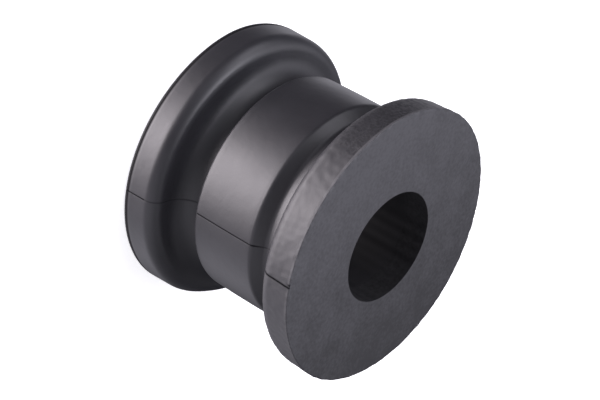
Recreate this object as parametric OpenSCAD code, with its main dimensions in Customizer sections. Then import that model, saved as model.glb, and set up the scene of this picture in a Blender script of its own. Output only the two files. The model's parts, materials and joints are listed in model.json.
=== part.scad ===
// Sway bar bushing: one solid rubber moulding in the shape of a spool.
// Two flanges stand at the ends, a flat-crowned waist sits between them, and a round
// groove runs between the waist and each flange. A plain bore passes through.
// The bore axis is +Z. The origin is the centre of the lower end face.

/* [Bore] */
// Diameter of the bore that grips the bar
bore_d = 17; // [12:0.1:22]

/* [Flanges] */
// Overall length between the two end faces
length = 31.6; // [29:0.1:44]
// Outer diameter of both flanges
flange_d = 42; // [40:0.1:54]
// Thickness of each flange, from its end face to its inner side
flange_t = 5.6; // [3.6:0.1:6.2]
// Radius of the rounded shoulder on the inner side of each flange
shoulder_r = 2; // [0.5:0.1:3]
// Drop of a rim's radius from its end face to its shoulder
rim_taper = 0.12; // [0:0.01:0.4]
// Size of the small trimmed chamfer between a rim and its end face
trim_c = 0.1; // [0.05:0.05:0.5]

/* [Waist] */
// Diameter of the waist at the middle of its length
waist_d = 34.2; // [33.4:0.1:37]
// Length of the waist between its two edges
waist_l = 10; // [6:0.1:11]
// Height of the waist's middle above the lower end face
waist_at = 15.45; // [14.8:0.05:16.2]
// Height of the crown, from the waist's edges up to its middle
waist_crown = 0.1; // [0.05:0.05:0.4]

/* [Lower groove] */
// Diameter at the bottom of the groove
lower_groove_d = 29; // [26:0.1:32.4]
// Radius of the waist's lower edge
lower_edge_r = 0.5; // [0.2:0.1:1]
// Slope of the wall between the waist and the groove, in degrees
lower_wall_deg = 80; // [60:1:82]
// Radius where the groove turns up into the waist
lower_hollow_r = 0.4; // [0.3:0.1:0.8]
// Radius where the groove turns up into the flange
lower_fillet_r = 3.6; // [0.5:0.1:3.8]

/* [Upper groove] */
// Diameter at the bottom of the groove
upper_groove_d = 30.6; // [26:0.1:32.4]
// Radius of the waist's upper edge
upper_edge_r = 0.9; // [0.2:0.1:1.2]
// Slope of the wall between the waist and the groove, in degrees
upper_wall_deg = 55; // [50:1:75]
// Radius where the groove turns up into the waist
upper_hollow_r = 1.4; // [0.3:0.1:1.8]
// Radius where the groove turns up into the flange
upper_fillet_r = 3; // [0.5:0.1:3.2]

/* [Hidden] */
$fn = 96;

// Steps in each rounded part of the section
arc_steps = 10;

// The section is drawn as distance from the waist's middle and distance from the axis.
flange_r = flange_d / 2;
bore_r = bore_d / 2;

// Flange shoulder, as far as the rim allows
shoulder = min(shoulder_r, flange_t - 2 * trim_c);

// Waist: a flat crown arc through the middle and both edges
edge_at = waist_l / 2;
crown_r = (edge_at * edge_at + waist_crown * waist_crown) / (2 * waist_crown);
crown_deg = asin(edge_at / crown_r);
crown_axis = waist_d / 2 - crown_r;
waist_edge = waist_d / 2 - waist_crown;

// Points on an arc about a centre, from one angle to another
function arc(centre, r, from, to) = [
    for (i = [0:arc_steps])
        let (a = from + (to - from) * i / arc_steps)
        centre + r * [cos(a), sin(a)]
];

// Outline from the waist's edge, down into a groove and out to an end face at reach:
// a rounded edge, a sloping wall and a hollow, with both radii kept within the height
// of the step, then a fillet as wide as the floor allows, the shoulder and the rim
function side(reach, groove_d, edge_r, wall_deg, hollow_r, fillet_r) =
    let (
        groove_r = groove_d / 2,
        flank_at = reach - flange_t,
        step_h = waist_edge - groove_r,
        edge_drop = cos(crown_deg) - cos(wall_deg),
        hollow_drop = 1 - cos(wall_deg),
        fit = min(1, 0.95 * step_h / (edge_r * edge_drop + hollow_r * hollow_drop)),
        edge = edge_r * fit,
        hollow = hollow_r * fit,
        wall_h = step_h - edge * edge_drop - hollow * hollow_drop,
        edge_c = [edge_at - edge * sin(crown_deg), waist_edge - edge * cos(crown_deg)],
        hollow_x = edge_c[0] + (edge + hollow) * sin(wall_deg) + wall_h / tan(wall_deg),
        fillet = min(fillet_r, flank_at - hollow_x - 0.05)
    )
    concat(
        arc(edge_c, edge, 90 - crown_deg, 90 - wall_deg),
        arc([hollow_x, groove_r + hollow], hollow, 270 - wall_deg, 270),
        arc([flank_at - fillet, groove_r + fillet], fillet, 270, 360),
        arc([flank_at + shoulder, flange_r - rim_taper - shoulder], shoulder, 180, 90),
        [[reach - trim_c, flange_r], [reach, flange_r - trim_c]]
    );

// The same points on the other side of the waist's middle, in reverse order
function mirrored(points) = [
    for (i = [len(points) - 1:-1:0]) [-points[i][0], points[i][1]]
];

// Full section of the solid rubber without its bore, standing on the XY plane
module section() {
    lower = side(
        waist_at, lower_groove_d, lower_edge_r, lower_wall_deg, lower_hollow_r, lower_fillet_r
    );
    crown = arc([0, crown_axis], crown_r, 90 + crown_deg, 90 - crown_deg);
    upper = side(
        length - waist_at, upper_groove_d, upper_edge_r, upper_wall_deg, upper_hollow_r, upper_fillet_r
    );
    outside = concat(mirrored(lower), crown, upper);
    polygon([
        for (p = concat([[-waist_at, 0]], outside, [[length - waist_at, 0]]))
            [p[1], p[0] + waist_at]
    ]);
}

// The moulded rubber body with its bore
module bushing() {
    color([0.2, 0.2, 0.21])
    difference() {
        rotate_extrude() section();
        translate([0, 0, -1]) cylinder(h = length + 2, r = bore_r);
    }
}

bushing();
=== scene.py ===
"""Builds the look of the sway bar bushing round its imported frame: the rubber moulding, the studio and the camera."""

import json
import math

import bpy
import numpy as np
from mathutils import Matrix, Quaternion, Vector


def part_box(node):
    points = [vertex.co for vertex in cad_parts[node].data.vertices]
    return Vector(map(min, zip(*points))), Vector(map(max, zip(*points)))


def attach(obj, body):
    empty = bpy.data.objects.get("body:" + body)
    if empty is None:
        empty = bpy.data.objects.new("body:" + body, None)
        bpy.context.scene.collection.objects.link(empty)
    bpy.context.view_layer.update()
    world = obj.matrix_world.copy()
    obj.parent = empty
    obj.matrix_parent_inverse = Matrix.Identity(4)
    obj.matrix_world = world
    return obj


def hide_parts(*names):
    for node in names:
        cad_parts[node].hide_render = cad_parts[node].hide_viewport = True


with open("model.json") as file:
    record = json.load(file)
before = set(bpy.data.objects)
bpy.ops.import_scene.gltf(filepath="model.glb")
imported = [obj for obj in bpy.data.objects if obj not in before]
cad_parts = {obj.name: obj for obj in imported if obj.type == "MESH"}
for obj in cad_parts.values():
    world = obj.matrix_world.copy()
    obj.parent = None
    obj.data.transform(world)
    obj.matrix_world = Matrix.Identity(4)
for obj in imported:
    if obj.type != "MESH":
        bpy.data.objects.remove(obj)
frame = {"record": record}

bl_info = {
    "name": "Sway bar bushing",
    "version": (1, 0, 0),
    "blender": (4, 5, 0),
    "location": "3D View > Sidebar > Bushing",
    "description": "Models a spool-shaped rubber bushing with its moulded skin, trimmed ends and mould line",
    "category": "Object",
}

MM = 0.001
NODE = "bushing"
LOW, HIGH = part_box(NODE)
BORE_DIMS = next(m["dims"] for m in frame["record"]["mounts"] if m["name"] == "bore")


def in_mm(name, text, value):
    """A length property whose default is given in millimetres."""
    return bpy.props.FloatProperty(
        name=name, description=text, default=value * MM, precision=5, subtype="DISTANCE", unit="LENGTH"
    )


def turned(name, text, value):
    """An angle property whose default is given in degrees."""
    return bpy.props.FloatProperty(
        name=name, description=text, default=math.radians(value), subtype="ANGLE", unit="ROTATION"
    )


def share(name, text, value):
    """A plain number from 0 to 1."""
    return bpy.props.FloatProperty(name=name, description=text, default=value, min=0, max=1)


def tint(name, text, value):
    """A colour, written as an sRGB hex value and kept as linear numbers."""
    return bpy.props.FloatVectorProperty(
        name=name, description=text, default=linear(value), size=4, min=0, max=1, subtype="COLOR"
    )


def linear(hex_value):
    """Linear red, green, blue and alpha of an sRGB hex value, by the sRGB curve."""
    srgb = np.array([hex_value >> 16 & 255, hex_value >> 8 & 255, hex_value & 255]) / 255
    low, high = srgb / 12.92, ((srgb + 0.055) / 1.055) ** 2.4
    return (*np.where(srgb <= 0.04045, low, high).tolist(), 1.0)


class BushingSizes(bpy.types.PropertyGroup):
    """Sizes of the moulding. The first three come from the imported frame."""

    length: in_mm("Length", "Between the two end faces", (HIGH.z - LOW.z) / MM)
    flange_d: in_mm("Flange diameter", "Across both flanges", 2 * HIGH.x / MM)
    bore_d: in_mm("Bore diameter", "Of the hole for the bar", 2 * BORE_DIMS["r_mm"])
    flange_t: in_mm("Flange thickness", "From end face to inner side", 5.6)
    shoulder_r: in_mm("Shoulder radius", "On the inner side of each flange", 2.0)
    rim_taper: in_mm("Rim taper", "Drop of a rim's radius from its end face to its shoulder", 0.12)
    trim_c: in_mm("Trimmed edge", "Between a rim and its end face", 0.1)
    waist_d: in_mm("Waist diameter", "At the middle of its length", 34.2)
    waist_l: in_mm("Waist length", "Between its two edges", 10.0)
    waist_at: in_mm("Waist height", "Of the waist's middle above the lower end face", 15.45)
    waist_crown: in_mm("Waist crown", "Rise from the waist's edges to its middle", 0.05)
    lower_groove_d: in_mm("Lower groove diameter", "At the bottom of the groove", 29.0)
    lower_edge_r: in_mm("Lower edge radius", "At the waist's lower edge", 0.5)
    lower_wall: turned("Lower wall", "Slope of the wall between the waist and the lower groove", 80)
    lower_hollow_r: in_mm("Lower hollow radius", "Where the groove turns up into the waist", 0.4)
    lower_fillet_r: in_mm("Lower fillet radius", "Where the groove turns up into the flange", 3.6)
    upper_groove_d: in_mm("Upper groove diameter", "At the bottom of the groove", 31.1)
    upper_edge_r: in_mm("Upper edge radius", "At the waist's upper edge", 0.9)
    upper_wall: turned("Upper wall", "Slope of the wall between the waist and the upper groove", 43)
    upper_hollow_r: in_mm("Upper hollow radius", "Where the groove turns up into the waist", 1.0)
    upper_fillet_r: in_mm("Upper fillet radius", "Where the groove turns up into the flange", 3.0)


class BushingMarks(bpy.types.PropertyGroup):
    """Marks that moulding and trimming leave on the rubber, with the shade painted into the grooves and the bore and
    the light painted across the end faces.
    """

    # The mould line and the nick are fine grooves in the mesh; the dark attribute also paints shade into them.
    line_w: in_mm("Mould line width", "Width of the fine groove along the mould line", 0.22)
    rim_line_w: in_mm("Mould line width on the rim", "Its width on the trimmed upper rim", 0.34)
    line_depth: in_mm("Mould line depth", "Its depth on the waist and shoulders", 0.04)
    line_fade: share("Mould line in the grooves", "How much of it is left there", 0.4)
    rim_line_depth: in_mm("Mould line depth on the rim", "Its depth on the trimmed upper rim", 0.06)
    nick_w: in_mm("Nick width", "Of the small nick beside the mould line on the upper edge", 0.35)
    nick_depth: in_mm("Nick depth", "Depth of that nick", 0.12)
    flat_depth: in_mm("Upper flat", "Depth of the flat that trimming left on the upper rim", 0.45)
    flat_at: bpy.props.FloatProperty(name="Upper flat's azimuth", default=math.radians(95), subtype="ANGLE")
    bulge_h: in_mm("Lower bulge", "Height of the low swelling on the lower rim", 0.3)
    bulge_at: bpy.props.FloatProperty(name="Lower bulge's azimuth", default=math.radians(-172), subtype="ANGLE")
    near_flat: in_mm("Second upper flat", "Depth of a smaller flat on the upper rim", 0.15)
    near_flat_at: turned("Second upper flat's azimuth", "From the X axis", -60)
    low_flat: in_mm("Lower flat", "Depth of a flat on the lower rim", 0.45)
    low_flat_at: turned("Lower flat's azimuth", "From the X axis", -12)
    ground_h: in_mm("Ground relief", "Height of the trimmed rim's unevenness", 0.018)
    ground_cell: in_mm("Ground relief size", "Distance between its high spots", 1.5)
    ragged_h: in_mm("Ragged edge", "Unevenness of the upper rim's edge", 0.02)
    ragged_cell: in_mm("Ragged edge size", "Distance between its high spots", 2.2)
    # Painted shade: a dark line painted round the lower rim by the floor, over a shallow groove in the mesh.
    edge_at: in_mm("Lower line height", "Of the fine dark line round the lower rim, above the lower face", 0.4)
    edge_w: in_mm("Lower line width", "Width of that line", 0.36)
    edge_depth: in_mm("Lower line depth", "Depth of that line", 0.06)
    waist_flat: in_mm("Waist flat", "Depth of the flat on one side of the waist", 0.2)
    waist_flat_at: bpy.props.FloatProperty(name="Waist flat's azimuth", default=math.radians(-40), subtype="ANGLE")
    # Painted light: azimuth towards which the end faces are painted lighter, darker on the other side.
    painted_light_at: bpy.props.FloatProperty(name="Haze's azimuth", default=math.radians(-160), subtype="ANGLE")
    # Painted shade: the bore's wall is painted darker and duller, standing in for the shade inside the hole.
    bore_shade: share("Bore shade", "How much darker the bore's wall is than the skin", 0.62)
    patch_start: bpy.props.FloatProperty(name="Ground patch's azimuth", default=math.radians(-143), subtype="ANGLE")
    patch_width: bpy.props.FloatProperty(name="Ground patch's width", default=math.radians(50), subtype="ANGLE")


class BushingFinish(bpy.types.PropertyGroup):
    """Colours and gloss of the rubber."""

    skin_colour: tint("Moulded skin", "Black rubber as it leaves the mould", 0x28282B)
    skin_bloom: tint("Bloom", "Greyish haze on the moulded skin", 0x333337)
    skin_roughness: share("Skin roughness", "Lowest, of the moulded skin", 0.29)
    ground_roughness: share("Ground roughness", "Lowest, of the ground upper rim", 0.4)
    # Ends of the end faces' mix, which carries their mottle, their pale haze and the painted light that makes each
    # face lighter towards one side and darker on the other.
    cut_pale_and_lit: tint("Hazy end face", "Cut rubber under a pale haze", 0x464649)
    cut_dark_and_shaded: tint("Clear end face", "Cut rubber where the haze is thin", 0x262628)
    cut_roughness: share("Cut roughness", "Of the cut end faces", 0.52)
    # Colour of the painted shade in the mould line, the nick, the lower line and the bore, and of the patch's pits.
    pit_and_painted_shade_colour: tint("Marks", "Inside the mould line and along the lower edge", 0x0C0C0E)


class BushingStage(bpy.types.PropertyGroup):
    """The camera, the lights and the floor."""

    distance: in_mm("Camera distance", "From the aim point", 264.2)
    azimuth: bpy.props.FloatProperty(name="Camera azimuth", default=math.radians(-32.565), subtype="ANGLE")
    elevation: bpy.props.FloatProperty(name="Camera elevation", default=math.radians(32.589), subtype="ANGLE")
    roll: bpy.props.FloatProperty(name="Camera roll", default=math.radians(119.681), subtype="ANGLE")
    aim_right: in_mm("Aim", "Aim point to the left of the middle", 0.844)
    focal_px: bpy.props.FloatProperty(name="Focal length in pixels", default=1829.0)
    floor_colour: tint("Floor", "Plain white table", 0xF0F0F0)
    key_colour: tint("Key light", "The strong light from low on the left", 0xFFF7FD)
    fill_colour: tint("Fill light", "The soft light from the other sides", 0xF6F4FF)


def arc(centre, radius, start, end, steps):
    """Points on an arc: the centre plus the radius times cosine and sine of evenly spaced angles in degrees."""
    turn = np.radians(np.linspace(start, end, steps + 1))
    return np.column_stack((centre[0] + radius * np.cos(turn), centre[1] + radius * np.sin(turn)))


def line(start, end, steps):
    """Points on a straight line, with the two ends left out."""
    along = np.linspace(0, 1, steps + 1)[1:-1, None]
    return np.array(start) + along * (np.array(end) - np.array(start))


def half_outside(s, reach, groove_d, edge_r, slope, hollow_r, fillet_r):
    """Half of the outside as distance from the waist's middle and from the axis, out to the end face at reach.

    The crown is an arc through the waist's middle and edge. A rounded edge, a straight wall and a hollow
    take the step down to the groove, a fillet turns up into the flange, and a quarter round makes its shoulder.
    """
    rim_r, groove_r, wall = s.flange_d / 2, groove_d / 2, math.degrees(slope)
    edge_at, waist_r = s.waist_l / 2, s.waist_d / 2 - s.waist_crown
    crown_r = (edge_at**2 + s.waist_crown**2) / (2 * s.waist_crown)
    crown = math.degrees(math.asin(edge_at / crown_r))
    edge_drop, hollow_drop = math.cos(math.radians(crown)) - math.cos(slope), 1 - math.cos(slope)
    step = waist_r - groove_r
    fit = min(1, 0.95 * step / (edge_r * edge_drop + hollow_r * hollow_drop))
    edge, hollow = edge_r * fit, hollow_r * fit
    wall_h = step - edge * edge_drop - hollow * hollow_drop
    edge_c = (edge_at - edge * math.sin(math.radians(crown)), waist_r - edge * math.cos(math.radians(crown)))
    hollow_c = (edge_c[0] + (edge + hollow) * math.sin(slope) + wall_h / math.tan(slope), groove_r + hollow)
    flank_at = reach - s.flange_t
    fillet = min(fillet_r, flank_at - hollow_c[0] - 0.05 * MM)
    fillet_c = (flank_at - fillet, groove_r + fillet)
    shoulder_c = (flank_at + s.shoulder_r, rim_r - s.rim_taper - s.shoulder_r)
    rim_start, rim_end = (shoulder_c[0], rim_r - s.rim_taper), (reach - s.trim_c, rim_r)
    return np.vstack((
        arc((0, s.waist_d / 2 - crown_r), crown_r, 90, 90 - crown, 8),
        arc(edge_c, edge, 90 - crown, 90 - wall, 5)[1:],
        arc(hollow_c, hollow, 270 - wall, 270, 8),
        arc(fillet_c, fillet, 270, 360, 12),
        arc(shoulder_c, s.shoulder_r, 180, 90, 14),
        line(rim_start, rim_end, 10),
        arc((reach - s.trim_c, rim_r - s.trim_c), s.trim_c, 90, 0, 1),
    ))


def section(s):
    """The closed section as radius and height above the lower face, with a number for each part of it.

    Parts: 0 lower face, 1 outside, 2 upper face, 3 bore.
    """
    lower = half_outside(
        s, s.waist_at, s.lower_groove_d, s.lower_edge_r, s.lower_wall, s.lower_hollow_r, s.lower_fillet_r
    )
    upper = half_outside(
        s, s.length - s.waist_at, s.upper_groove_d, s.upper_edge_r, s.upper_wall, s.upper_hollow_r, s.upper_fillet_r
    )
    outside = np.vstack(((lower * (-1, 1))[:0:-1], upper)) + (s.waist_at, 0)
    bore_r, ring_r, face_r = s.bore_d / 2, s.bore_d / 2 + 0.1 * MM, s.flange_d / 2 - s.trim_c - 0.2 * MM
    parts = (
        np.vstack(([0, ring_r], line((0, ring_r), (0, face_r), 8), [0, face_r])),
        outside,
        np.vstack(([s.length, face_r], line((s.length, face_r), (s.length, ring_r), 8), [s.length, ring_r])),
        np.vstack(([s.length, bore_r], line((s.length, bore_r), (0, bore_r), 8), [0, bore_r])),
    )
    points = np.vstack(parts)
    number = np.concatenate([np.full(len(p), i) for i, p in enumerate(parts)])
    return points[:, 1], points[:, 0], number


def columns(count, radius, reach):
    """Angles round the axis. Their density is one plus a bump of six at each mould line, where x is small."""
    fine = np.linspace(0, 2 * math.pi, 40001)
    density = 1 + 6 * np.exp(-((radius * np.cos(fine) / reach) ** 2))
    grown = np.concatenate(([0], np.cumsum((density[1:] + density[:-1]) / 2)))
    return np.interp(np.arange(count) / count, grown / grown[-1], fine)


def smooth_noise(angle, along, cell, radius, seed):
    """Noise between about -1 and 1: a sum of cosine waves of random direction and phase.

    Each wave has a whole number of periods round the axis, so that the pattern closes.
    """
    rng = np.random.default_rng(seed)
    waves = 48
    direction, phase = rng.uniform(0, math.pi, waves), rng.uniform(0, 2 * math.pi, waves)
    rate = 2 * math.pi / cell * rng.uniform(0.5, 1.5, waves)
    total = np.zeros(np.broadcast(angle, along).shape)
    for d, p, k in zip(direction, phase, rate):
        total += np.cos(np.round(radius * k * math.cos(d)) * angle + k * math.sin(d) * along + p)
    return total / math.sqrt(waves)


def hump(angle, middle, reach):
    """One at the middle angle and falling to nothing on both sides, as a bell curve of the angle between."""
    return np.exp(-((2 * np.sin((angle - middle) / 2) / reach) ** 2))


def outward(radius, height):
    """Outward normal of the section at each point, from the line between its two neighbours."""
    dr = np.roll(radius, -1) - np.roll(radius, 1)
    dh = np.roll(height, -1) - np.roll(height, 1)
    size = np.hypot(dr, dh)
    return dh / size, -dr / size


def moulding_mesh(s, m):
    """The closed rubber body: the section turned round the axis, pushed in or out along its normal.

    Position = ((r + t + d nr) cos a, (r + t + d nr) sin a, h + d nh). Here t is the rims' trimmed unevenness, and
    d is the sum of the mould line's groove, a bell curve of the distance from the YZ plane, and the ground relief.
    Also returns each face's material number and, for each point, how much of each mark is there: the painted shade in
    the mould line, the nick, the lower line and the bore, the pale haze on the end faces with its painted light,
    lighter towards one side, the ground upper rim and its speckled patch.
    """
    radius, height, part = section(s)
    nr, nh = outward(radius, height)
    angle = columns(640, s.flange_d / 2, 0.6 * MM)[:, None]
    along = np.concatenate(([0], np.cumsum(np.hypot(np.diff(radius), np.diff(height)))))[None, :]

    outside = (part == 1)[None, :]
    ground = outside * (height > s.length - s.flange_t + 0.3 * s.shoulder_r)[None, :]
    aside = radius[None, :] * np.cos(angle)
    upper_groove = (height > s.waist_at) & (radius < s.upper_groove_d / 2 + 0.5 * MM)
    lower_groove = (height > s.flange_t - s.shoulder_r) & (height < s.waist_at - s.waist_l / 2)
    # Mould line: a fine groove, with painted shade in it carried by the dark attribute.
    bell = np.exp(-((2 * aside / np.where(ground, m.rim_line_w, m.line_w)) ** 2)) * outside
    bell = bell * np.where(upper_groove | lower_groove, m.line_fade, 1)
    push = -np.where(ground, m.rim_line_depth, m.line_depth) * bell
    push = push + ground * m.ground_h * smooth_noise(angle, along, m.ground_cell, s.flange_d / 2, 5)
    corner = outside * (height > s.length - 0.4 * MM)[None, :]
    # The nick beside the mould line: a small dent, with painted shade in it through the dark attribute.
    nick_turn = -math.pi / 2 - 2 * m.nick_w / s.flange_d
    nick = hump(angle, nick_turn, m.nick_w / s.flange_d) * np.exp(-(((s.length - height[None, :]) / m.nick_w) ** 2))
    # Painted shade round the lower rim by the floor, over a shallow groove.
    edge = outside * np.exp(-(((height[None, :] - m.edge_at) / (m.edge_w / 2)) ** 2)) + 0 * angle
    push = push - outside * m.nick_depth * nick - m.edge_depth * edge
    push = push + corner * m.ragged_h * smooth_noise(angle, 0, m.ragged_cell, s.flange_d / 2, 9)

    rim = np.clip((2 * radius - s.waist_d) / (s.flange_d - s.waist_d), 0, 1)[None, :] ** 2
    upper = (height > s.length / 2)[None, :]
    upper_trim = -m.flat_depth * hump(angle, m.flat_at, 0.6) - m.near_flat * hump(angle, m.near_flat_at, 0.3)
    lower_trim = m.bulge_h * hump(angle, m.bulge_at, 0.4) - m.low_flat * hump(angle, m.low_flat_at, 0.3)
    trim = np.where(upper, upper_trim, lower_trim)
    trim = rim * trim - outside * (1 - rim) * m.waist_flat * hump(angle, m.waist_flat_at, 0.6)
    r = radius[None, :] + trim + push * nr[None, :]
    z = height[None, :] + push * nh[None, :]
    grid = np.stack((r * np.cos(angle), r * np.sin(angle), np.broadcast_to(z, r.shape)), axis=-1)
    rows, cols = r.shape
    index = np.arange(rows * cols).reshape(rows, cols)
    right, up = np.roll(index, -1, axis=0), np.roll(index, -1, axis=1)
    faces = np.stack((index, right, np.roll(right, -1, axis=1), up), axis=-1).reshape(-1, 4)
    face = np.isin(part, (0, 2)) | (height > s.length - 1.01 * s.trim_c)
    cut = face | np.roll(face, -1)
    kind = np.broadcast_to(cut.astype(np.int32), r.shape).reshape(-1)
    lean = angle - m.patch_start + 0.13 * (s.length - height[None, :]) / s.flange_t
    lean = lean + 0.04 * smooth_noise(angle, along, 1.5 * MM, s.flange_d / 2, 3)
    lean = np.mod(lean + math.pi, 2 * math.pi) - math.pi
    patch = ground * np.clip(-lean / 0.05 + 0.5, 0, 1) * np.clip((lean + m.patch_width) / 0.3, 0, 1)
    # Painted shade in the bore, broken by faint streaks.
    streaks = 1 + 0.09 * smooth_noise(angle, 0, m.ragged_cell, s.bore_d / 2, 4)
    shade = (part == 3)[None, :] * m.bore_shade * streaks
    # The end faces' pale haze, with painted light on it: lighter towards one azimuth and darker opposite.
    haze = 0.5 + radius[None, :] / s.flange_d * np.cos(angle - m.painted_light_at)
    marks = {
        # dark: painted shade in the mould line, the nick, the lower line and the bore.
        "dark": np.maximum(np.maximum(bell, outside * nick), np.maximum(edge, shade)),
        "haze": np.broadcast_to(haze, r.shape),
        "ground": np.broadcast_to(ground, r.shape),
        "patch": patch,
    }
    return grid.reshape(-1, 3), faces, kind, marks


def fill_mesh(name, points, faces):
    """A mesh object at the origin from whole arrays of points and four-sided faces."""
    mesh = bpy.data.meshes.new(name)
    mesh.vertices.add(len(points))
    mesh.vertices.foreach_set("co", points.astype(np.float32).ravel())
    mesh.loops.add(faces.size)
    mesh.loops.foreach_set("vertex_index", faces.astype(np.int32).ravel())
    mesh.polygons.add(len(faces))
    mesh.polygons.foreach_set("loop_start", np.arange(0, faces.size, 4, dtype=np.int32))
    mesh.polygons.foreach_set("loop_total", np.full(len(faces), 4, np.int32))
    mesh.update(calc_edges=True)
    mesh.validate()
    obj = bpy.data.objects.new(name, mesh)
    bpy.context.scene.collection.objects.link(obj)
    return obj


def add_node(tree, kind, settings=None, links=None):
    """Adds one node, sets its properties and input values, and links its inputs from other nodes' outputs."""
    node = tree.nodes.new(kind)
    for name, value in (settings or {}).items():
        if isinstance(name, int) or name in node.inputs:
            node.inputs[name].default_value = value
        else:
            setattr(node, name, value)
    for name, socket in (links or {}).items():
        tree.links.new(socket, node.inputs[name])
    return node


def new_material(name):
    """An empty node material with its output node."""
    material = bpy.data.materials.new(name)
    material.use_nodes = True
    tree = material.node_tree
    tree.nodes.clear()
    return material, tree, tree.nodes.new("ShaderNodeOutputMaterial")


def finish_rubber(tree, out, f, colour, roughness, normal, dark):
    """The rubber's shader: its colour and gloss sink towards dull black as dark goes from 0 to 1."""
    inked = add_node(tree, "ShaderNodeMix", {"data_type": "RGBA", 7: f.pit_and_painted_shade_colour}, {0: dark, 6: colour})
    gloss = add_node(tree, "ShaderNodeMapRange", {"To Min": 0.5, "To Max": 0.02}, {"Value": dark})
    dull = add_node(
        tree, "ShaderNodeMath", {"operation": "MULTIPLY_ADD", "use_clamp": True, 1: 0.5}, {0: dark, 2: roughness}
    )
    shader = add_node(
        tree, "ShaderNodeBsdfPrincipled", {"IOR": 1.52},
        {"Base Color": inked.outputs[2], "Specular IOR Level": gloss.outputs[0], "Roughness": dull.outputs[0],
         "Normal": normal},
    )
    tree.links.new(shader.outputs[0], out.inputs["Surface"])


def moulded_rubber(f):
    """Black natural rubber as it leaves a polished steel mould: a smooth, half-glossy skin with a faint bloom.

    The upper rim was ground after moulding, so it is a little duller, and its patch is speckled with fine pits.
    """
    material, tree, out = new_material("moulded_rubber")
    place = add_node(tree, "ShaderNodeTexCoord").outputs["Object"]
    ground = add_node(tree, "ShaderNodeAttribute", {"attribute_name": "ground"}).outputs["Fac"]
    patch = add_node(tree, "ShaderNodeAttribute", {"attribute_name": "patch"}).outputs["Fac"]
    bloom = add_node(tree, "ShaderNodeTexNoise", {"Scale": 1 / (6 * MM), "Detail": 4}, {"Vector": place})
    fine = add_node(tree, "ShaderNodeTexNoise", {"Scale": 1 / (0.45 * MM), "Detail": 2}, {"Vector": place})
    colour = add_node(
        tree, "ShaderNodeMix", {"data_type": "RGBA", 6: f.skin_colour, 7: f.skin_bloom}, {0: bloom.outputs["Fac"]}
    )
    rough = add_node(
        tree, "ShaderNodeMapRange", {"To Min": f.skin_roughness, "To Max": f.ground_roughness}, {"Value": ground}
    )
    cloudy = add_node(
        tree, "ShaderNodeMath", {"operation": "MULTIPLY_ADD", 1: 0.16}, {0: bloom.outputs["Fac"], 2: rough.outputs[0]}
    )
    ripple = add_node(tree, "ShaderNodeTexNoise", {"Scale": 1 / (1.4 * MM), "Detail": 3}, {"Vector": place})
    waves = add_node(
        tree, "ShaderNodeBump", {"Strength": 0.5, "Distance": 0.05 * MM}, {"Height": ripple.outputs["Fac"]}
    )
    pits = add_node(
        tree, "ShaderNodeMapRange", {"From Min": 0.4, "From Max": 0.6, "To Max": 0.36}, {"Value": fine.outputs["Fac"]}
    )
    # The dark attribute: painted shade in the mould line, the nick, the lower line and the bore.
    painted_shade = add_node(tree, "ShaderNodeAttribute", {"attribute_name": "dark"}).outputs["Fac"]
    dark = add_node(
        tree, "ShaderNodeMath", {"operation": "MULTIPLY_ADD", "use_clamp": True},
        {0: pits.outputs[0], 1: patch, 2: painted_shade},
    )
    relief = add_node(tree, "ShaderNodeMapRange", {"To Min": 0.1, "To Max": 1.0}, {"Value": patch})
    bump = add_node(
        tree, "ShaderNodeBump", {"Distance": 0.05 * MM},
        {"Height": fine.outputs["Fac"], "Strength": relief.outputs[0], "Normal": waves.outputs[0]},
    )
    finish_rubber(tree, out, f, colour.outputs[2], cloudy.outputs[0], bump.outputs[0], dark.outputs[0])
    return material


def cut_rubber(f):
    """The same rubber on the end faces, where it was cut: matt, finely mottled and under a pale haze, with painted
    light making each face lighter towards one side.
    """
    material, tree, out = new_material("cut_rubber")
    place = add_node(tree, "ShaderNodeTexCoord").outputs["Object"]
    # The haze attribute: a pale haze with painted light, lighter towards one side of each end face.
    haze = add_node(tree, "ShaderNodeAttribute", {"attribute_name": "haze"}).outputs["Fac"]
    grit = add_node(tree, "ShaderNodeTexNoise", {"Scale": 1 / (0.5 * MM), "Detail": 5}, {"Vector": place})
    cloud = add_node(tree, "ShaderNodeTexNoise", {"Scale": 1 / (4 * MM), "Detail": 3}, {"Vector": place})
    fine = add_node(
        tree, "ShaderNodeMath", {"operation": "MULTIPLY_ADD", 1: 1.2, 2: -1.0}, {0: grit.outputs["Fac"]}
    )
    coarse = add_node(
        tree, "ShaderNodeMath", {"operation": "MULTIPLY_ADD", 1: 0.8}, {0: cloud.outputs["Fac"], 2: fine.outputs[0]}
    )
    level = add_node(
        tree, "ShaderNodeMath", {"operation": "ADD", "use_clamp": True}, {0: haze, 1: coarse.outputs[0]}
    )
    colour = add_node(
        tree, "ShaderNodeMix", {"data_type": "RGBA", 6: f.cut_dark_and_shaded, 7: f.cut_pale_and_lit}, {0: level.outputs[0]}
    )
    bump = add_node(
        tree, "ShaderNodeBump", {"Strength": 0.5, "Distance": 0.04 * MM}, {"Height": grit.outputs["Fac"]}
    )
    rough = add_node(
        tree, "ShaderNodeMapRange", {"To Min": f.cut_roughness, "To Max": f.cut_roughness + 0.1}, {"Value": haze}
    )
    # The dark attribute: painted shade in the mould line, the nick, the lower line and the bore.
    painted_shade = add_node(tree, "ShaderNodeAttribute", {"attribute_name": "dark"}).outputs["Fac"]
    finish_rubber(tree, out, f, colour.outputs[2], rough.outputs[0], bump.outputs[0], painted_shade)
    return material


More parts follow.
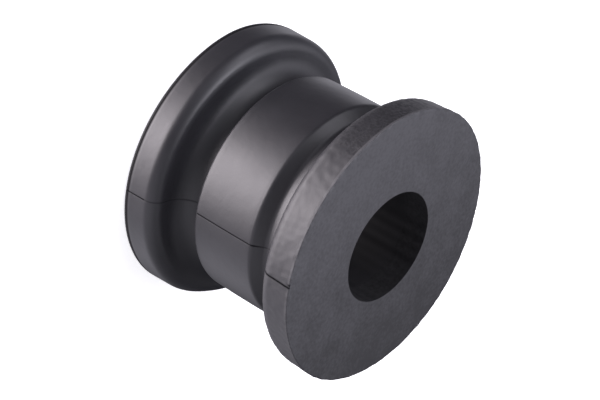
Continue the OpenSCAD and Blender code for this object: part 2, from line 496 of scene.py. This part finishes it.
class MakeBody(bpy.types.Operator):
    """Models the rubber body and gives it its moulded and trimmed finish"""

    bl_idname = "bushing.make_body"
    bl_label = "Rubber body"

    def execute(self, context):
        scene = context.scene
        points, faces, kind, marks = moulding_mesh(scene.bushing_sizes, scene.bushing_marks)
        body = fill_mesh("rubber_body", points, faces)
        for name, amount in marks.items():
            values = body.data.attributes.new(name, "FLOAT", "POINT").data
            values.foreach_set("value", amount.astype(np.float32).ravel())
        for material in (moulded_rubber(scene.bushing_finish), cut_rubber(scene.bushing_finish)):
            body.data.materials.append(material)
        body.data.polygons.foreach_set("material_index", kind)
        body.data.polygons.foreach_set("use_smooth", np.ones(len(faces), bool))
        body.data.set_sharp_from_angle(angle=math.radians(40))
        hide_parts(NODE)
        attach(body, "root")
        return {"FINISHED"}


def aim_camera(g):
    """The photo's camera: it looks at the middle of the bushing from above one side, turned on its side."""
    data = bpy.data.cameras.new("camera")
    data.sensor_width = 36
    data.lens = g.focal_px / 600 * data.sensor_width
    data.clip_start, data.clip_end = 1 * MM, 10
    camera = bpy.data.objects.new("camera", data)
    bpy.context.scene.collection.objects.link(camera)
    back = direction(g.azimuth, g.elevation)
    turn = (-back).to_track_quat("-Z", "Y") @ Quaternion((0, 0, 1), g.roll)
    middle = Vector((0, 0, (LOW.z + HIGH.z) / 2))
    aim = middle - turn @ Vector((g.aim_right, 0, 0))
    camera.location = aim + back * g.distance
    camera.rotation_mode = "QUATERNION"
    camera.rotation_quaternion = turn
    bpy.context.scene.camera = camera
    return camera


def direction(azimuth, elevation):
    """Unit vector from the middle out to a place round it, where azimuth 0 is on the -Y side."""
    flat = math.cos(elevation)
    return Vector((math.sin(azimuth) * flat, -math.cos(azimuth) * flat, math.sin(elevation)))


def soft_light(tree, place, azimuth, elevation, spread, brightness, colour):
    """One soft light in the air, far from the bushing. Angles are in degrees, and brightness is its peak radiance.

    Radiance = brightness * exp((cos t - 1) / (1 - cos spread)), where t is the angle away from the light's middle,
    so at the spread angle it has fallen to 0.37 of its peak.
    """
    toward = direction(math.radians(azimuth), math.radians(elevation))
    fall = 1 / (1 - math.cos(math.radians(spread)))
    facing = add_node(tree, "ShaderNodeVectorMath", {"operation": "DOT_PRODUCT", 1: toward}, {0: place})
    power = add_node(
        tree, "ShaderNodeMath", {"operation": "MULTIPLY_ADD", 1: fall, 2: -fall}, {0: facing.outputs["Value"]}
    )
    glow = add_node(tree, "ShaderNodeMath", {"operation": "EXPONENT"}, {0: power.outputs[0]})
    level = add_node(tree, "ShaderNodeMath", {"operation": "MULTIPLY", 1: brightness}, {0: glow.outputs[0]})
    return add_node(tree, "ShaderNodeBackground", {"Color": colour}, {"Strength": level.outputs[0]}).outputs[0]


def make_world(g):
    """Studio air: soft lights round the bushing for the object, and plain white for the camera."""
    world = bpy.data.worlds.new("studio")
    world.use_nodes = True
    tree = world.node_tree
    tree.nodes.clear()
    out = tree.nodes.new("ShaderNodeOutputWorld")
    place = add_node(tree, "ShaderNodeTexCoord").outputs["Generated"]
    lights = (
        soft_light(tree, place, -24, -36, 17, 10.2, g.key_colour),
        soft_light(tree, place, -45, -60, 17, 8.6, g.key_colour),
        soft_light(tree, place, 3, -48, 17, 6.2, g.key_colour),
        soft_light(tree, place, 60, -77, 17, 2.7, g.key_colour),
        soft_light(tree, place, -148, 73, 17, 9.0, g.fill_colour),
        soft_light(tree, place, 124, 70, 17, 1.4, g.fill_colour),
        soft_light(tree, place, -178, 33, 17, 1.2, g.fill_colour),
        soft_light(tree, place, -117, 35, 18, 3.4, g.fill_colour),
        soft_light(tree, place, -75, 20, 20, 0.7, g.fill_colour),
        soft_light(tree, place, -60, 60, 20, 0.6, g.fill_colour),
        soft_light(tree, place, 36, 23, 43, 0.94, g.fill_colour),
        soft_light(tree, place, 78, -35, 26, 1.0, g.fill_colour),
        soft_light(tree, place, 180, -28, 20, 1.07, g.fill_colour),
    )
    total = lights[0]
    for light in lights[1:]:
        total = add_node(tree, "ShaderNodeAddShader", {}, {0: total, 1: light}).outputs[0]
    seen = add_node(tree, "ShaderNodeLightPath").outputs["Is Camera Ray"]
    white = add_node(tree, "ShaderNodeBackground", {"Color": (1, 1, 1, 1), "Strength": 1.0}).outputs[0]
    shown = add_node(tree, "ShaderNodeMixShader", {}, {0: seen, 1: total, 2: white})
    tree.links.new(shown.outputs[0], out.inputs["Surface"])
    bpy.context.scene.world = world


def make_floor(g):
    """A plain white table top. It shows as white to the camera and keeps the object's soft shadow."""
    half = 1.5
    corners = np.array([(-half, -half, 0), (half, -half, 0), (half, half, 0), (-half, half, 0)])
    floor = fill_mesh("floor", corners, np.array([[0, 1, 2, 3]]))
    material, tree, out = new_material("white_table")
    paint = add_node(tree, "ShaderNodeBsdfDiffuse", {"Color": g.floor_colour})
    seen = add_node(tree, "ShaderNodeLightPath").outputs["Is Camera Ray"]
    lift = add_node(tree, "ShaderNodeMath", {"operation": "MULTIPLY", 1: 0.6}, {0: seen})
    glow = add_node(tree, "ShaderNodeEmission", {"Color": (1, 1, 1, 1)}, {"Strength": lift.outputs[0]})
    both = add_node(tree, "ShaderNodeAddShader", {}, {0: paint.outputs[0], 1: glow.outputs[0]})
    tree.links.new(both.outputs[0], out.inputs["Surface"])
    floor.data.materials.append(material)
    floor.visible_diffuse = False
    floor.visible_glossy = False
    floor.visible_shadow = False
    return floor


class MakeStage(bpy.types.Operator):
    """Sets up the camera, the floor, the soft lights and the studio air"""

    bl_idname = "bushing.make_stage"
    bl_label = "Stage"

    def execute(self, context):
        stage = context.scene.bushing_stage
        aim_camera(stage)
        make_floor(stage)
        make_world(stage)
        context.scene.view_settings.view_transform = "Standard"
        return {"FINISHED"}


class BushingPanel(bpy.types.Panel):
    """Lists the sizes, marks and finish, and the buttons that build the pieces"""

    bl_label = "Bushing"
    bl_idname = "VIEW3D_PT_bushing"
    bl_space_type = "VIEW_3D"
    bl_region_type = "UI"
    bl_category = "Bushing"

    def draw(self, context):
        for group in GROUPS:
            box = self.layout.box()
            settings = getattr(context.scene, group)
            for name in settings.__annotations__:
                box.prop(settings, name)
        for operator in OPERATORS:
            self.layout.operator(operator.bl_idname)


GROUPS = {
    "bushing_sizes": BushingSizes,
    "bushing_marks": BushingMarks,
    "bushing_finish": BushingFinish,
    "bushing_stage": BushingStage,
}
OPERATORS = (MakeBody, MakeStage)


def register():
    for kind in (*GROUPS.values(), *OPERATORS, BushingPanel):
        bpy.utils.register_class(kind)
    for name, kind in GROUPS.items():
        setattr(bpy.types.Scene, name, bpy.props.PointerProperty(type=kind))


def unregister():
    for name in GROUPS:
        delattr(bpy.types.Scene, name)
    for kind in (BushingPanel, *reversed(OPERATORS), *reversed(GROUPS.values())):
        bpy.utils.unregister_class(kind)


def main():
    """Builds every piece."""
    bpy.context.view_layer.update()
    register()
    bpy.ops.bushing.make_body()
    bpy.ops.bushing.make_stage()


if __name__ == "__main__":
    main()
